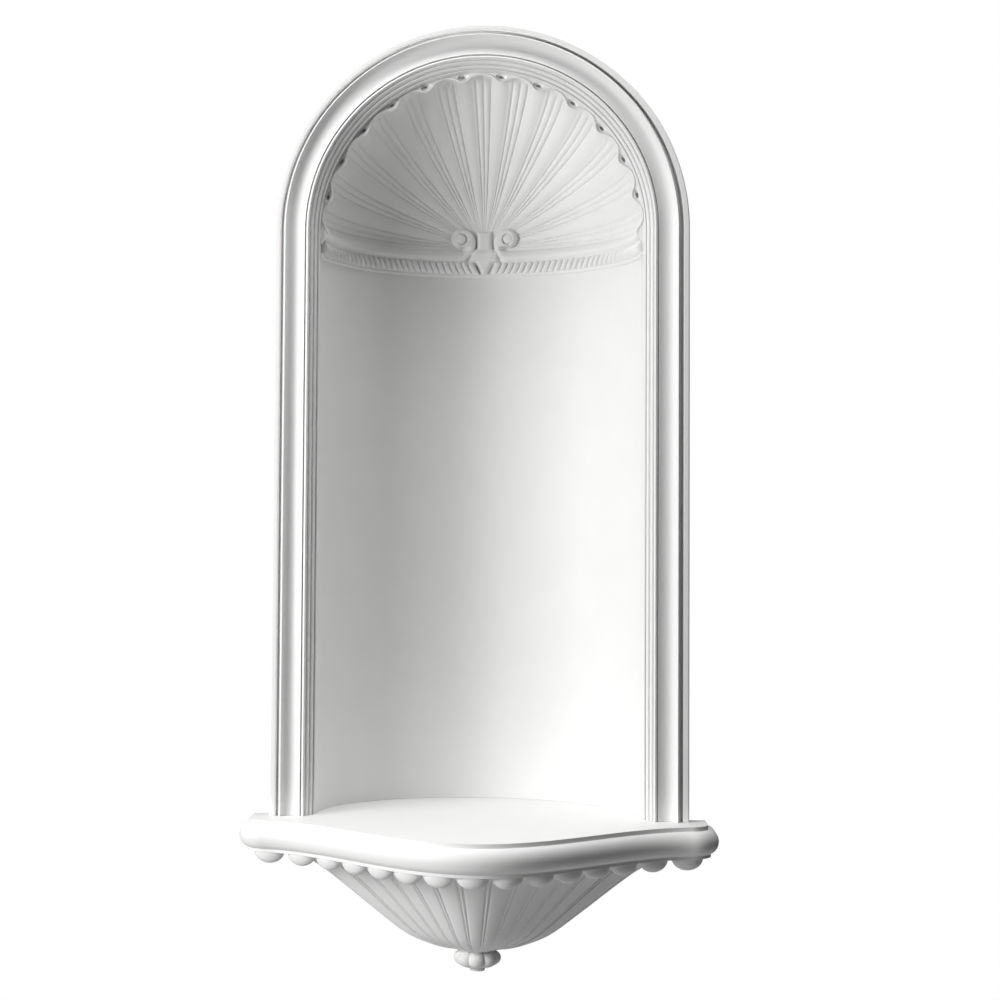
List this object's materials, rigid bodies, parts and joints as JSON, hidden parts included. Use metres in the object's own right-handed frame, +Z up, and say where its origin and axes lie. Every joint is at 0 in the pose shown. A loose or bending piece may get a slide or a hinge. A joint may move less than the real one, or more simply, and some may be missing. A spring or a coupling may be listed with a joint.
{
  "type": "polyurethane wall niche",
  "caption": "Arched wall niche with an architrave, a half-oval recess under a scallop-shell hood, and a fluted serpentine console shelf below.",
  "frame": {"origin": "the fixing point on the console's flat back, in the plane of the wall's face and in the middle of its width, 80 mm below the shelf's top", "axes": "+Z up, +Y into the wall, +X to the right of someone who faces the niche"},
  "size_m": [0.68, 0.467, 1.3675],
  "materials": {
    "niche_body": "matt white primer",
    "console_shelf": "matt white primer"
  },
  "bodies": {
    "root": {"niche_body": "niche_body", "console_shelf": "console_shelf"}
  },
  "joints": []
}
